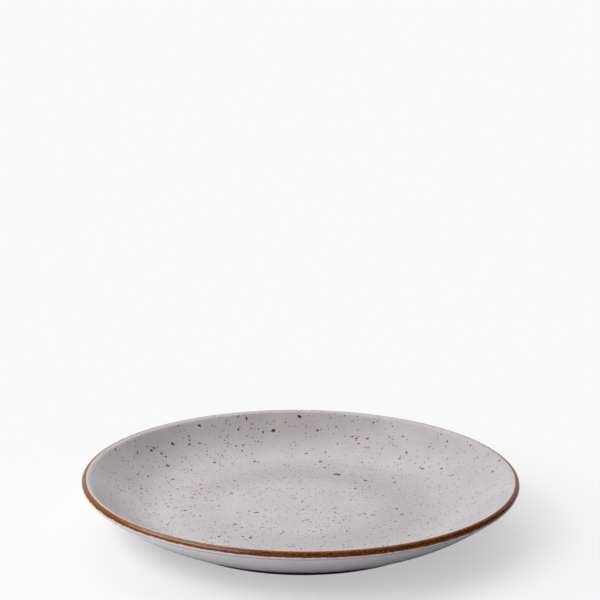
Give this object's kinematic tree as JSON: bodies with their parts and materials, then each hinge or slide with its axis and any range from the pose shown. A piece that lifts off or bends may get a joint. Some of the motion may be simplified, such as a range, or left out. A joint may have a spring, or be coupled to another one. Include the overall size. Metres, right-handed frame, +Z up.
{
  "type": "dinner plate",
  "caption": "Round coupe dinner plate in stoneware: a speckled face that curves up to a brown-banded lip, a plain glazed outer wall and a foot ring to stand on.",
  "frame": {"origin": "centre of the foot ring, on the surface that the plate stands on", "axes": "+Z up along the plate's axis of turning; X and Y are any two directions across it"},
  "size_m": [0.26, 0.26, 0.031],
  "materials": {
    "clay": "bare fired stoneware, dark, matt and slightly gritty",
    "speckled_glaze": "satin gloss, pale lilac grey with brown and rust specks",
    "brown_glaze": "gloss iron brown, thinner and more orange in places",
    "plain_glaze": "gloss, plain pale grey"
  },
  "bodies": {
    "root": {"stoneware_body": "clay", "face_glaze": "speckled_glaze", "rim_band": "brown_glaze", "wall_glaze": "plain_glaze", "foot_well_glaze": "plain_glaze"}
  },
  "joints": []
}
